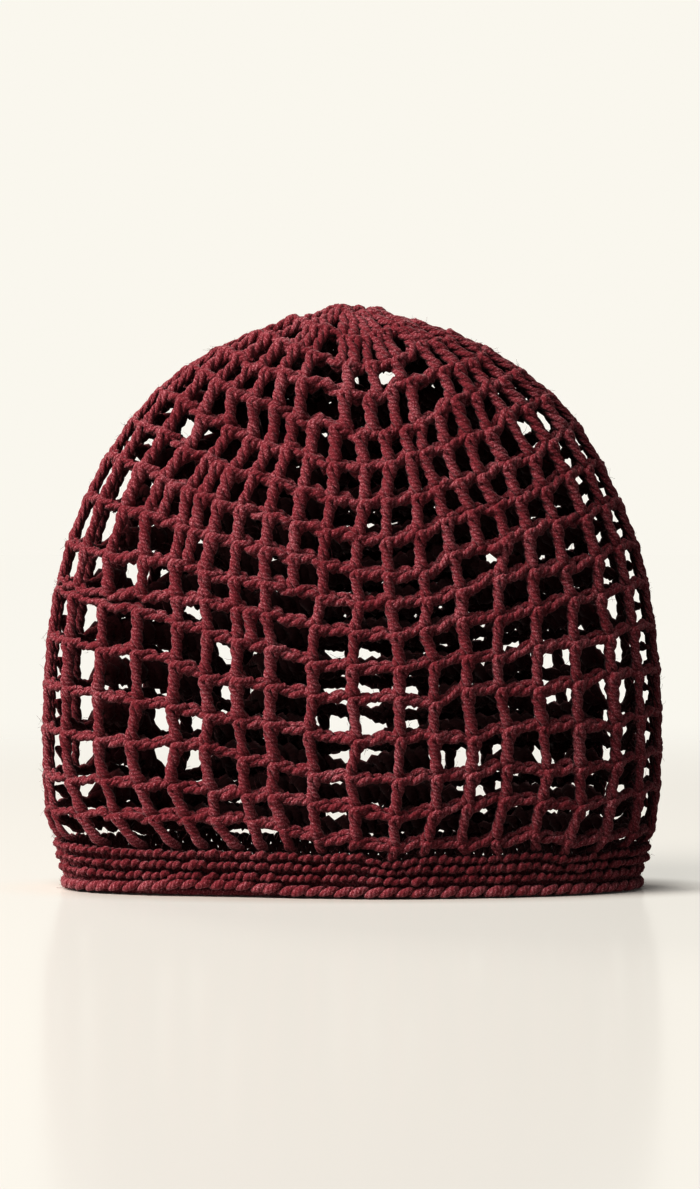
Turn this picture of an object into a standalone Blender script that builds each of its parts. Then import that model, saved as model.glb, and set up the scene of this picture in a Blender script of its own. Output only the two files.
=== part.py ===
# Crocheted mesh beanie, standing on its open rim.
# Metres, +Z up. The origin is under the middle of the rim, and -Y is the front.
import bisect
import collections
import functools
import math

import bmesh
import bpy
from mathutils import Vector

# The hat as a whole
hat_width = 0.210
hat_depth = 0.094           # it stands flattened from front to back
hat_height = 0.196
plan_exponent = 2.25        # 2 makes the plan an ellipse, more makes it squarer
seam_gap = 0.0003           # between one worked part and the next
seam_facet = 0.0010         # short facets beside a seam, so that both rims slope alike

# Edge braid, the round that rests on the table
edge_tall = 0.0046
edge_thick = 0.0046
edge_proud = 0.0004         # how far it stands out from the wall's line
edge_corner = 0.0013
edge_corner_steps = 2

# Band of close rounds
band_tall = 0.0112
band_wall = 0.0034
band_rounds = 3
band_round_proud = 0.0006
band_round_steps = 3

# Net, a wall pierced by gaps, in three stretches of rounds
net_wall = 0.0032
net_columns = 20
net_parts = ("net_lower", "net_middle", "net_upper")
net_part_rows = 2           # rows of gaps in each stretch
net_post_width = 0.0082     # at the widest round; posts narrow towards the top
net_bar_height = 0.0122     # on the longest way up, over a side of the hat
net_gap_steps = 2           # facets across a gap

# Crown centre, the closed start at the top
centre_reach = 0.036        # from the top, on the longest way down
centre_wall = 0.0034
centre_rings = 3

# The wall's outline from the rim up: shares of the height, and of the half width and half depth
OutlineRow = collections.namedtuple("OutlineRow", "rise width depth")
outline = [OutlineRow(*row) for row in (
    (0.000, 0.944, 0.940),
    (0.026, 0.944, 0.940),
    (0.083, 0.971, 0.970),
    (0.150, 0.993, 0.992),
    (0.260, 1.000, 1.000),
    (0.390, 0.991, 0.986),
    (0.500, 0.964, 0.950),
    (0.600, 0.917, 0.895),
    (0.700, 0.838, 0.815),
    (0.780, 0.752, 0.730),
    (0.850, 0.643, 0.625),
    (0.910, 0.500, 0.490),
    (0.955, 0.334, 0.330),
    (0.985, 0.152, 0.152),
    (1.000, 0.000, 0.000),
)]
outline_steps = 12          # points between two rows of the outline

# Soft ridges and dents: share of the way round from +X, share of the height, how far each
# fades round and up, and how much farther out or in the wall lies there
Fold = collections.namedtuple("Fold", "turn rise turn_fade rise_fade out")
folds = [Fold(*row) for row in (
    (0.776, 0.20, 0.045, 0.42, 0.050),
    (0.660, 0.14, 0.075, 0.38, -0.075),
    (0.665, 0.79, 0.075, 0.045, -0.080),
    (0.672, 0.88, 0.085, 0.050, 0.040),
    (0.010, 0.82, 0.070, 0.035, 0.012),
    (0.300, 0.62, 0.080, 0.110, -0.060),
    (0.190, 0.30, 0.070, 0.300, -0.045),
)]

yarn_colours = {
    "edge_braid": (0.270, 0.060, 0.070, 1.0),
    "band": (0.230, 0.045, 0.055, 1.0),
    "net_lower": (0.240, 0.049, 0.059, 1.0),
    "net_middle": (0.250, 0.052, 0.062, 1.0),
    "net_upper": (0.255, 0.054, 0.064, 1.0),
    "crown_centre": (0.260, 0.056, 0.066, 1.0),
}
yarn_roughness = 0.95

plan_steps = 360            # points round the plan
tiny_share = 0.0005         # steps for slopes
tiny_length = 0.0001


def curve_between(before, start, end, after, share):
    # A point of the Catmull-Rom curve between start and end
    return 0.5 * (
        2 * start
        + (end - before) * share
        + (2 * before - 5 * start + 4 * end - after) * share ** 2
        + (3 * start - before - 3 * end + after) * share ** 3
    )


def smooth_outline():
    # Rise, width and depth shares from the rim to the top, on a smooth curve
    knots = [Vector(row) for row in outline]
    # Past the top the outline goes on down the other side
    mirrored = Vector((knots[-2].x, -knots[-2].y, -knots[-2].z))
    knots = [knots[0] * 2 - knots[1]] + knots + [mirrored]
    points = []
    for number in range(1, len(knots) - 2):
        for step in range(outline_steps):
            points.append(curve_between(*knots[number - 1:number + 3], step / outline_steps))
    points.append(knots[-2])
    return points


def along_table(rows, length):
    # The values at a length in a table whose rows start with their own length
    place = min(max(bisect.bisect_left(rows, (length,)), 1), len(rows) - 1)
    low = rows[place - 1]
    high = rows[place]
    share = (length - low[0]) / (high[0] - low[0])
    return [a + (b - a) * share for a, b in zip(low[1:], high[1:])]


def smooth_plan():
    # The widest round from +X: share of the way round, then shares of the half width and depth
    lengths = [0.0]
    points = []
    for step in range(plan_steps + 1):
        angle = math.tau * step / plan_steps
        across = math.copysign(abs(math.cos(angle)) ** (2 / plan_exponent), math.cos(angle))
        along = math.copysign(abs(math.sin(angle)) ** (2 / plan_exponent), math.sin(angle))
        points.append((across, along))
        if step:
            last = points[-2]
            step_length = math.hypot((across - last[0]) * hat_width, (along - last[1]) * hat_depth) / 2
            lengths.append(lengths[-1] + step_length)
    return [(length / lengths[-1], *point) for length, point in zip(lengths, points)], lengths[-1]


outline_points = smooth_outline()
plan_points, widest_round = smooth_plan()
net_start = edge_tall + band_tall + seam_gap * 2


def fold_factor(turn, rise):
    # How much farther out the folds put the wall there
    factor = 1.0
    for fold in folds:
        across = ((turn - fold.turn + 0.5) % 1 - 0.5) / fold.turn_fade
        up = (rise - fold.rise) / fold.rise_fade
        factor += fold.out * math.exp(-across ** 2 - up ** 2)
    return factor


@functools.cache
def way_up(turn):
    # Points of the wall above one place of the rim: length climbed, then x, y and z
    across, along = along_table(plan_points, turn % 1)
    rows = []
    for rise, width, depth in outline_points:
        out = fold_factor(turn, rise)
        point = Vector((
            hat_width / 2 * width * across * out,
            hat_depth / 2 * depth * along * out,
            hat_height * rise,
        ))
        climbed = 0.0
        if rows:
            climbed = rows[-1][0] + (point - Vector(rows[-1][1:])).length
        rows.append((climbed, *point))
    return rows


def plan_middle():
    # Halfway between the hat's two sides, and between its front and back
    points = [row[1:] for step in range(0, plan_steps, 3) for row in way_up(step / plan_steps)]
    across = [point[0] for point in points]
    along = [point[1] for point in points]
    return Vector(((min(across) + max(across)) / 2, (min(along) + max(along)) / 2, 0.0))


middle = plan_middle()
longest_way = way_up(0.0)[-1][0]


def way_length(turn):
    return way_up(turn % 1)[-1][0]


def wall_line(turn, climb):
    # A point on the outer wall, before anything stands out from it
    return Vector(along_table(way_up(turn % 1), climb)) - middle


def wall_point(turn, climb, out=0.0):
    # A point that stands out from the wall square to its slope
    point = wall_line(turn, climb)
    if out == 0.0:
        return point
    round_about = wall_line(turn + tiny_share, climb) - wall_line(turn - tiny_share, climb)
    upward = wall_line(turn, climb + tiny_length) - point
    return point + round_about.cross(upward).normalized() * out


def level_point(turn, climb, out):
    # A point that stands out from the wall level with the table
    round_about = wall_line(turn + tiny_share, climb) - wall_line(turn - tiny_share, climb)
    return wall_line(turn, climb) + Vector((round_about.y, -round_about.x, 0.0)).normalized() * out


def shares(count):
    return [number / count for number in range(count + 1)]


def net_turns():
    # Places round the net: each column is half a post, a gap and half a post
    post_share = net_post_width * net_columns / widest_round
    turns = []
    for number in range(net_columns):
        start = (number + post_share / 2) / net_columns
        gap = (1 - post_share) / net_columns
        turns += [start + gap * share for share in shares(net_gap_steps)]
    turns.append(turns[0] + 1)
    return turns


def new_sheet(turns, levels):
    # A flat grid with a vertex for each turn and level
    sheet = bmesh.new()
    bmesh.ops.create_grid(sheet, x_segments=len(turns) - 1, y_segments=len(levels) - 1, size=1.0)
    return sheet


def grid_place(point, turns, levels):
    # The column and row of a point of the flat grid, as numbers that may lie between two
    return (
        (point.x + 1) / 2 * (len(turns) - 1),
        (point.y + 1) / 2 * (len(levels) - 1),
    )


def wrap_sheet(sheet, turns, levels, place):
    # Bends the grid round the hat and closes its seam
    for vertex in sheet.verts:
        across, up = grid_place(vertex.co, turns, levels)
        vertex.co = place(turns[round(across)], levels[round(up)])
    bmesh.ops.remove_doubles(sheet, verts=sheet.verts, dist=0.00001)


def add_object(sheet, name, collection):
    mesh = bpy.data.meshes.new(name)
    sheet.to_mesh(mesh)
    sheet.free()
    mesh.shade_smooth()
    part = bpy.data.objects.new(name, mesh)
    part.data.materials.append(yarn_material(name))
    collection.objects.link(part)
    return part


def yarn_material(name):
    material = bpy.data.materials.new(name + "_yarn")
    material.use_nodes = True
    shader = material.node_tree.nodes["Principled BSDF"]
    shader.inputs["Base Color"].default_value = yarn_colours[name]
    shader.inputs["Roughness"].default_value = yarn_roughness
    shader.inputs["Metallic"].default_value = 0.0
    return material


def thicken(part, wall):
    # Gives an open sheet its thickness, inwards
    solid = part.modifiers.new("wall", "SOLIDIFY")
    solid.thickness = wall
    solid.offset = -1.0
    solid.use_even_offset = True
    solid.use_quality_normals = True


def edge_section():
    # Climb and outset round the edge's section: up the outer side, in, down and back out
    corners = (
        (edge_corner, edge_proud - edge_corner, -90),
        (edge_tall - edge_corner, edge_proud - edge_corner, 0),
        (edge_tall - edge_corner, edge_proud - edge_thick + edge_corner, 90),
        (edge_corner, edge_proud - edge_thick + edge_corner, 180),
    )
    section = []
    for climb, out, start in corners:
        for share in shares(edge_corner_steps):
            angle = math.radians(start + 90 * share)
            section.append((climb + edge_corner * math.sin(angle), out + edge_corner * math.cos(angle)))
    section.append(section[0])
    return section


def make_edge(turns, collection):
    section = edge_section()
    sheet = new_sheet(turns, section)
    wrap_sheet(sheet, turns, section, lambda turn, spot: level_point(turn, *spot))
    return add_object(sheet, "edge_braid", collection)


def band_climbs():
    start = edge_tall + seam_gap
    return [start + band_tall * share for share in shares(band_rounds * band_round_steps)]


def band_out(climb):
    # Each round of the band stands out as a soft rib
    share = (climb - edge_tall - seam_gap) / band_tall
    return band_round_proud * abs(math.sin(math.pi * band_rounds * share))


def make_band(turns, collection):
    climbs = band_climbs()
    sheet = new_sheet(turns, climbs)
    wrap_sheet(sheet, turns, climbs, lambda turn, climb: wall_point(turn, climb, band_out(climb)))
    part = add_object(sheet, "band", collection)
    thicken(part, band_wall)
    return part


def net_end(turn):
    # Where the net ends below the crown centre, which reaches less far on a shorter way down
    return way_length(turn) * (1 - centre_reach / longest_way) - seam_gap


def net_shares(part_number):
    # Shares of the way up the net for one stretch: a bar, then a gap and a bar for each row.
    # Two stretches meet in the middle of a bar
    tall = net_end(0.0) - net_start
    facet = seam_facet / tall
    bar = net_bar_height / tall
    pitch = (1 - bar) / (len(net_parts) * net_part_rows)
    first = part_number * net_part_rows
    start = 0.0
    end = 1.0
    if part_number > 0:
        start = pitch * first + (bar + seam_gap / tall) / 2
    if part_number < len(net_parts) - 1:
        end = pitch * (first + net_part_rows) + (bar - seam_gap / tall) / 2
    rises = [start, start + facet]
    for row in range(net_part_rows):
        top = bar + pitch * (first + row)
        rises += [top + (pitch - bar) * share for share in shares(net_gap_steps)]
    return rises + [end - facet, end]


def net_point(turn, share):
    return wall_point(turn, net_start + (net_end(turn) - net_start) * share)


def in_gap(face, turns, rises):
    # Each column of the net is its gap's facets and then a post; rows start with a bar
    across, up = grid_place(face.calc_center_median(), turns, rises)
    period = net_gap_steps + 1
    level = int(up) - 1
    if level >= net_part_rows * period:
        return False
    return int(across) % period < net_gap_steps and level >= 0 and level % period > 0


def make_net_part(turns, part_number, collection):
    rises = net_shares(part_number)
    sheet = new_sheet(turns, rises)
    gaps = [face for face in sheet.faces if in_gap(face, turns, rises)]
    bmesh.ops.delete(sheet, geom=gaps, context="FACES")
    wrap_sheet(sheet, turns, rises, net_point)
    part = add_object(sheet, net_parts[part_number], collection)
    thicken(part, net_wall)
    return part


def centre_point(turn, share):
    start = net_end(turn) + seam_gap
    return wall_point(turn, start + (way_length(turn) - start) * share)


def make_centre(turns, collection):
    rises = shares(centre_rings)
    rises.insert(1, seam_facet / centre_reach)
    sheet = new_sheet(turns, rises)
    wrap_sheet(sheet, turns, rises, centre_point)
    part = add_object(sheet, "crown_centre", collection)
    thicken(part, centre_wall)
    return part


def main():
    for thing in list(bpy.data.objects):
        bpy.data.objects.remove(thing)
    collection = bpy.data.collections.new("mesh_beanie")
    bpy.context.scene.collection.children.link(collection)
    turns = net_turns()
    make_edge(turns, collection)
    make_band(turns, collection)
    for part_number in range(len(net_parts)):
        make_net_part(turns, part_number, collection)
    make_centre(turns, collection)


main()
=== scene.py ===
import math

import bmesh
import bpy
import numpy as np
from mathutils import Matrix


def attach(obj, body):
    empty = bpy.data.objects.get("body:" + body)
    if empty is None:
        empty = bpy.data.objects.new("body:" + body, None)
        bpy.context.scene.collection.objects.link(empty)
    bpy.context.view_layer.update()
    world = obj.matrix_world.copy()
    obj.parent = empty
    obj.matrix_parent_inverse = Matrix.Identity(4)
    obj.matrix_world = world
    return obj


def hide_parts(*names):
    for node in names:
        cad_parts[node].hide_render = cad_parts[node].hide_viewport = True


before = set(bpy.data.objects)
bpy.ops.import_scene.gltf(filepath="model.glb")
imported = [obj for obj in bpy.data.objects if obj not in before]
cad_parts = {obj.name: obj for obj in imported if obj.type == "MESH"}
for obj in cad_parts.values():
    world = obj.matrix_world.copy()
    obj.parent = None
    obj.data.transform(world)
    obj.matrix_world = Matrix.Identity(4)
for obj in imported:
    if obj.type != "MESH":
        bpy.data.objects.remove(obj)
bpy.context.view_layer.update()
print("Frame loaded:", ", ".join(sorted(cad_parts)))

# Burgundy crocheted mesh beanie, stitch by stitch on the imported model's form.
# Metres, +Z up, -Y the front. A turn is a share of the way round from +X, so the back is at
# 0.25, the left side of the photograph at 0.5 and the front at 0.75.

# How the photograph was taken
shot = {
    "photoHeight": 1189,        # pixels
    "hatPixels": 622,           # the hat's widest part in the photograph
    "distance": 1.40,           # from the hat's middle to the lens
    "eyeHeight": 0.130,
    "aimHeight": 0.099,
    "aimAcross": -0.0007,
    "sensor": 36.0,             # millimetres, along the photograph's tall side
}

# The hat's form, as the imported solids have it
hat = {
    "width": 0.210,
    "depth": 0.094,
    "height": 0.196,
    "planExponent": 2.25,       # 2 makes the plan an ellipse, more makes it squarer
    "planSteps": 360,
    "outlineSteps": 12,
    "turnSteps": 720,           # the wall is looked up in a grid of this many turns
    "climbSteps": 240,          # and this many steps up each way
    "yarnDepth": 0.0017,        # the yarn's middle lies this far inside the outer wall
    "outline": (                # rise, width and depth as shares
        (0.000, 0.944, 0.940),
        (0.026, 0.944, 0.940),
        (0.083, 0.971, 0.970),
        (0.150, 0.993, 0.992),
        (0.260, 1.000, 1.000),
        (0.390, 0.991, 0.986),
        (0.500, 0.964, 0.950),
        (0.600, 0.917, 0.895),
        (0.700, 0.838, 0.815),
        (0.780, 0.752, 0.730),
        (0.850, 0.643, 0.625),
        (0.910, 0.500, 0.490),
        (0.955, 0.334, 0.330),
        (0.985, 0.152, 0.152),
        (1.000, 0.000, 0.000),
    ),
    "folds": (                  # turn, rise, how far each fades round and up, and how far out
        (0.776, 0.20, 0.045, 0.42, 0.050),
        (0.660, 0.14, 0.075, 0.38, -0.075),
        (0.668, 0.78, 0.080, 0.055, -0.120),
        (0.672, 0.88, 0.085, 0.050, 0.040),
        (0.010, 0.82, 0.070, 0.035, 0.012),
        (0.300, 0.62, 0.080, 0.110, -0.060),
        (0.190, 0.30, 0.070, 0.300, -0.045),
    ),
}

# Where the rounds and posts of the mesh lie
mesh = {
    "columns": 40,
    "roundTurns": (0.250, 0.530, 0.680, 0.775, 0.975),      # back, left, seam, front and right
    "rounds": (                 # share of the way up at those turns
        (0.073, 0.0685, 0.0670, 0.0650, 0.0605),        # top of the band
        (0.105, 0.1075, 0.1060, 0.0830, 0.0810),
        (0.155, 0.1550, 0.1610, 0.1325, 0.1400),
        (0.208, 0.2200, 0.2150, 0.1837, 0.1880),
        (0.262, 0.2800, 0.2670, 0.2462, 0.2412),
        (0.316, 0.3450, 0.3195, 0.3025, 0.2988),
        (0.370, 0.4075, 0.3780, 0.3588, 0.3575),
        (0.424, 0.4180, 0.4290, 0.4113, 0.4150),        # starts at the seam
        (0.478, 0.4700, 0.4730, 0.4625, 0.4730),
        (0.532, 0.5400, 0.5225, 0.5125, 0.5320),
        (0.586, 0.6013, 0.5775, 0.5663, 0.5900),
        (0.640, 0.6550, 0.6335, 0.6175, 0.6480),
        (0.694, 0.7080, 0.6885, 0.6800, 0.7030),
        (0.748, 0.7600, 0.7445, 0.7350, 0.7570),
        (0.800, 0.8100, 0.7970, 0.7940, 0.8100),
        (0.850, 0.8600, 0.8500, 0.8450, 0.8620),
        (0.905, 0.9150, 0.9070, 0.9000, 0.9150),
        (0.962, 0.9680, 0.9650, 0.9620, 0.9640),        # the closing ring
    ),
    "extraPosts": (             # columns with one more post between them, and from which round on
        (6, 11, 9),
        (11, 16, 10),
        (26, 31, 8),
        (31, 36, 9),
    ),
    "crownPosts": {13: 36, 14: 29, 15: 22, 16: 16},     # round and its posts
    "crownDense": (15, 26.5, 35.0),     # twice as many from this round on, between these columns
    "doubles": (                # column and round of posts that stand close to a neighbour
        (25.40, 8),
        (25.44, 9),
        (25.46, 10),
        (24.42, 9),
        (27.45, 6),
    ),
    "slants": (                 # column, how far it fades, the round it ends at, columns at the band
        (23.0, 4.5, 2.4, 0.85),
        (37.5, 1.8, 1.6, -0.15),
    ),
    "raised": (                 # turn, how far it fades, the round and its lift
        (0.622, 0.055, 1, 0.0030),
        (0.690, 0.040, 1, 0.0014),
    ),
    "wobbleRound": 0.060,       # in columns
    "wobbleUp": 0.0008,
    "driftRound": 0.14,         # the same over a few columns and rounds at a time
    "driftUp": 0.0013,
    "driftCells": 3,
    "driftRounds": 2,           # it grows over the first rounds above the band
    "backWobble": 1.3,          # the back is this many times as uneven
    "sideCalm": 0.65,           # and the sides are less so by this share
    "calmReach": 0.080,
    "sideReach": 0.045,         # how far a side reaches each way, in turns
    "sideBlend": 0.030,
    "sideDraw": 0.50,           # posts draw in to the one at the side, where the hat folds
    "sideFade": 1.3,
    "roomBefore": 1.8,          # they make room from this many rounds below an extra one
    "roomRounds": 2.6,
    "parted": (6, 11),          # rounds that the middle and the upper net start with
    "seed": 7,
}


def smoothStep(share):
    share = np.clip(share, 0, 1)
    return share * share * (3 - 2 * share)


def blendCorners(table, left, right, low, across, up):
    # The value between two columns and two rows of a table
    bottom = table[left, low] * (1 - across) + table[right, low] * across
    top = table[left, low + 1] * (1 - across) + table[right, low + 1] * across
    return bottom * (1 - up) + top * up


def curveThrough(knots, steps):
    # Points of a Catmull-Rom curve from the second knot to the last but one
    rows = []
    for number in range(1, len(knots) - 2):
        before, start, end, after = knots[number - 1:number + 3]
        for share in np.arange(steps) / steps:
            rows.append(0.5 * (
                2 * start
                + (end - before) * share
                + (2 * before - 5 * start + 4 * end - after) * share ** 2
                + (3 * start - before - 3 * end + after) * share ** 3
            ))
    rows.append(knots[-2])
    return np.array(rows)


def smoothOutline():
    # Rise, width and depth shares; the curve goes on down past the top, so the crown is round
    knots = np.array(hat["outline"])
    ends = [2 * knots[0] - knots[1], knots[-2] * (1, -1, -1)]
    return curveThrough(np.vstack([ends[0], knots, ends[1]]), hat["outlineSteps"])


def smoothPlan():
    # The widest round: shares of the way round, of the half width and of the half depth
    angle = np.linspace(0, math.tau, hat["planSteps"] + 1)
    power = 2 / hat["planExponent"]
    across = np.sign(np.cos(angle)) * np.abs(np.cos(angle)) ** power
    along = np.sign(np.sin(angle)) * np.abs(np.sin(angle)) ** power
    steps = np.hypot(np.diff(across) * hat["width"], np.diff(along) * hat["depth"]) / 2
    lengths = np.concatenate([[0], np.cumsum(steps)])
    return lengths / lengths[-1], across, along, lengths[-1]


def foldFactor(turn, rise):
    factor = np.ones(np.broadcast(turn, rise).shape)
    for foldTurn, foldRise, turnFade, riseFade, out in hat["folds"]:
        apart = (turn - foldTurn + 0.5) % 1 - 0.5
        factor += out * np.exp(-(apart / turnFade) ** 2 - ((rise - foldRise) / riseFade) ** 2)
    return factor


def makeWall():
    # Points, round, upward and outward directions over the whole wall, and each way's length
    roundShares, across, along, widest = smoothPlan()
    turns = np.arange(hat["turnSteps"] + 1) / hat["turnSteps"]
    across = np.interp(turns % 1, roundShares, across)[:, None]
    along = np.interp(turns % 1, roundShares, along)[:, None]
    rows = smoothOutline()
    out = foldFactor(turns[:, None], rows[None, :, 0])
    points = np.stack([
        hat["width"] / 2 * rows[:, 1] * across * out,
        hat["depth"] / 2 * rows[:, 2] * along * out,
        np.broadcast_to(hat["height"] * rows[:, 0], out.shape),
    ], axis=-1)
    flat = points.reshape(-1, 3)
    points[..., :2] -= ((flat.min(0) + flat.max(0)) / 2)[:2]
    steps = np.linalg.norm(np.diff(points, axis=1), axis=2)
    climbed = np.concatenate([np.zeros((len(turns), 1)), np.cumsum(steps, axis=1)], axis=1)
    shares = np.linspace(0, 1, hat["climbSteps"] + 1)
    even = np.empty((len(turns), len(shares), 3))
    for number in range(len(turns)):
        for axis in range(3):
            even[number, :, axis] = np.interp(
                shares * climbed[number, -1], climbed[number], points[number, :, axis])
    around = np.empty_like(even)
    around[1:-1] = even[2:] - even[:-2]
    around[0] = around[-1] = even[1] - even[-2]
    around[:, -1] = around[:, -2]
    upward = np.gradient(even, axis=1)
    around /= np.linalg.norm(around, axis=2, keepdims=True)
    outward = np.cross(around, upward)
    outward /= np.linalg.norm(outward, axis=2, keepdims=True)
    upward = np.cross(outward, around)
    return np.stack([even, around, upward, outward], axis=2), climbed[:, -1], widest


wall, wayLengths, widestRound = makeWall()


def lookUp(turn, share):
    # The wall's point and its three directions
    across = np.asarray(turn, float) % 1 * hat["turnSteps"]
    up = np.clip(share, 0, 1) * hat["climbSteps"]
    left = np.minimum(across.astype(int), hat["turnSteps"] - 1)
    low = np.minimum(up.astype(int), hat["climbSteps"] - 1)
    across = (across - left)[..., None, None]
    up = (up - low)[..., None, None]
    return blendCorners(wall, left, left + 1, low, across, up)


def place(turn, share, across=0.0, up=0.0, out=0.0):
    # A point near the yarn's middle layer, moved by lengths round, up and out
    turn, share, across, up, out = np.broadcast_arrays(turn, share, across, up, out)
    spot = lookUp(turn, share)
    out = out - hat["yarnDepth"]
    return (
        spot[..., 0, :]
        + spot[..., 1, :] * across[..., None]
        + spot[..., 2, :] * up[..., None]
        + spot[..., 3, :] * out[..., None]
    )


def wayLength(turn):
    # From the rim to the top of the crown
    spot = np.asarray(turn, float) % 1 * hat["turnSteps"]
    return np.interp(spot, np.arange(len(wayLengths)), wayLengths)


randomSource = np.random.default_rng(mesh["seed"])
levels = len(mesh["rounds"])
cells = (mesh["columns"], levels + 1)
uneven = np.where(np.arange(cells[0]) < cells[0] // 2, mesh["backWobble"], 1)[:, None]
wobbleRound = randomSource.normal(0, mesh["wobbleRound"], cells) * uneven
wobbleUp = randomSource.normal(0, mesh["wobbleUp"], cells) * uneven
driftRound = randomSource.normal(0, mesh["driftRound"], cells)
driftUp = randomSource.normal(0, mesh["driftUp"], cells)
roundTurns = np.append(mesh["roundTurns"], mesh["roundTurns"][0] + 1)
roundTable = np.transpose([row + row[:1] for row in mesh["rounds"]])


def wobble(table, column, level, reach=1):
    # A smooth value between the table's random ones, each for a few columns and rounds
    count = mesh["columns"] // reach
    column = np.asarray(column, float) % mesh["columns"] * count / mesh["columns"]
    level = np.clip(np.asarray(level, float) / reach, 0, levels - 0.001)
    left = column.astype(int)
    low = level.astype(int)
    right = (left + 1) % count
    return blendCorners(table, left, right, low, smoothStep(column - left), smoothStep(level - low))


def sideShare(turn, reach=mesh["sideReach"]):
    # 1 at the two sides, where the net is seen edge on, 0 in front and behind
    apart = np.abs((np.asarray(turn, float) + 0.25) % 0.5 - 0.25)
    return smoothStep((reach - apart) / mesh["sideBlend"])


def calmShare(turn):
    return 1 - mesh["sideCalm"] * sideShare(turn, mesh["calmReach"])


def driftAt(table, column, level):
    grown = np.clip(level / mesh["driftRounds"], 0, 1)
    return wobble(table, column, level, mesh["driftCells"]) * grown


def roundShare(turn, level):
    # How far up the way a round lies at a turn, smooth between the table's places
    turn = np.asarray(turn, float) % 1
    turn = np.where(turn < roundTurns[0], turn + 1, turn)
    spot = np.searchsorted(roundTurns, turn, side="right") - 1
    spot = np.clip(spot, 0, len(roundTurns) - 2)
    across = smoothStep((turn - roundTurns[spot]) / (roundTurns[spot + 1] - roundTurns[spot]))
    level = np.clip(level, 0, levels - 1)
    low = np.minimum(np.asarray(level).astype(int), levels - 2)
    share = blendCorners(roundTable, spot, spot + 1, low, across, level - low)
    column = turn * mesh["columns"]
    drift = driftAt(driftUp, column, level)
    for middle, fade, number, lift in mesh["raised"]:
        apart = (turn % 1 - middle) / fade
        drift = drift + lift * np.exp(-apart ** 2) * smoothStep(1 - np.abs(level - number))
    return share + (wobble(wobbleUp, column, level) + drift) * calmShare(turn) / wayLength(turn)


def columnTurn(column, level):
    # The turn of a post at a level: posts make room for extra ones and slant near the band
    column = np.asarray(column, float)
    level = np.asarray(level, float)
    drift = driftAt(driftRound, column, level)
    calm = calmShare(column / mesh["columns"])
    moved = column + (wobble(wobbleRound, column, level) + drift) * calm
    for first, last, start in mesh["extraPosts"]:
        middle = (first + last) / 2
        room = (level - start + mesh["roomBefore"]) / mesh["roomRounds"]
        squeeze = smoothStep(room) / (last - first + 1)
        left = (column > first) & (column < middle)
        right = (column > middle) & (column < last)
        moved = moved - np.where(left, (column - first) * squeeze, 0)
        moved = moved + np.where(right, (last - column) * squeeze, 0)
    aside = (column + mesh["columns"] / 4) % (mesh["columns"] / 2) - mesh["columns"] / 4
    moved = moved - mesh["sideDraw"] * aside * np.exp(-(aside / mesh["sideFade"]) ** 2)
    for middle, fade, end, amount in mesh["slants"]:
        share = np.clip(1 - level / end, 0, 1)
        moved = moved + amount * share * np.exp(-((column - middle) / fade) ** 2)
    return moved / mesh["columns"]


def smoothBetween(points, steps):
    # Points of a curve through an open list of points
    points = np.asarray(points, float)
    ends = [2 * points[0] - points[1], 2 * points[-1] - points[-2]]
    return curveThrough(np.vstack([ends[0], points, ends[1]]), steps)


def addObject(name, data):
    thing = bpy.data.objects.new(name, data)
    bpy.context.scene.collection.objects.link(thing)
    return thing


def feed(tree, node, values):
    # Each socket named takes a plain value, or a link from another node's output
    for name, value in values.items():
        if isinstance(value, bpy.types.NodeSocket):
            tree.links.new(value, node.inputs[name])
        else:
            node.inputs[name].default_value = value


def addNode(tree, kind, values=None, **settings):
    node = tree.nodes.new(kind)
    for name, setting in settings.items():
        setattr(node, name, setting)
    feed(tree, node, values or {})
    return node


# How a strand is swept into a tube that knows its length along and its side
sweep = {
    "alongName": "yarnAlong",
    "sideName": "yarnSide",
    "lumps": 0.06,              # how uneven the yarn's thickness is
    "lumpLimits": (0.8, 1.2),
    "clearance": 1.25,          # a strand's middle stays this many radii above the table
}
sweepTrees = {}


def makeSweepTree(sides):
    tree = bpy.data.node_groups.new("yarnSweep" + str(sides), "GeometryNodeTree")
    for way in ("INPUT", "OUTPUT"):
        tree.interface.new_socket("Geometry", in_out=way, socket_type="NodeSocketGeometry")
    given = addNode(tree, "NodeGroupInput")
    parameter = addNode(tree, "GeometryNodeSplineParameter")
    position = addNode(tree, "GeometryNodeInputPosition")
    radius = addNode(tree, "GeometryNodeInputRadius")
    section = addNode(tree, "GeometryNodeCurvePrimitiveCircle", {"Resolution": sides, "Radius": 1.0})
    keepAlong = addNode(tree, "GeometryNodeStoreNamedAttribute", {
        "Geometry": given.outputs[0],
        "Name": sweep["alongName"],
        "Value": parameter.outputs["Length"],
    }, data_type="FLOAT")
    keepSide = addNode(tree, "GeometryNodeStoreNamedAttribute", {
        "Geometry": section.outputs["Curve"],
        "Name": sweep["sideName"],
        "Value": position.outputs["Position"],
    }, data_type="FLOAT_VECTOR")
    tube = addNode(tree, "GeometryNodeCurveToMesh", {
        "Curve": keepAlong.outputs["Geometry"],
        "Profile Curve": keepSide.outputs["Geometry"],
        "Scale": radius.outputs["Radius"],
        "Fill Caps": True,
    })
    smooth = addNode(tree, "GeometryNodeSetShadeSmooth", {"Geometry": tube.outputs["Mesh"]})
    addNode(tree, "NodeGroupOutput", {0: smooth.outputs["Geometry"]})
    return tree


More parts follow.
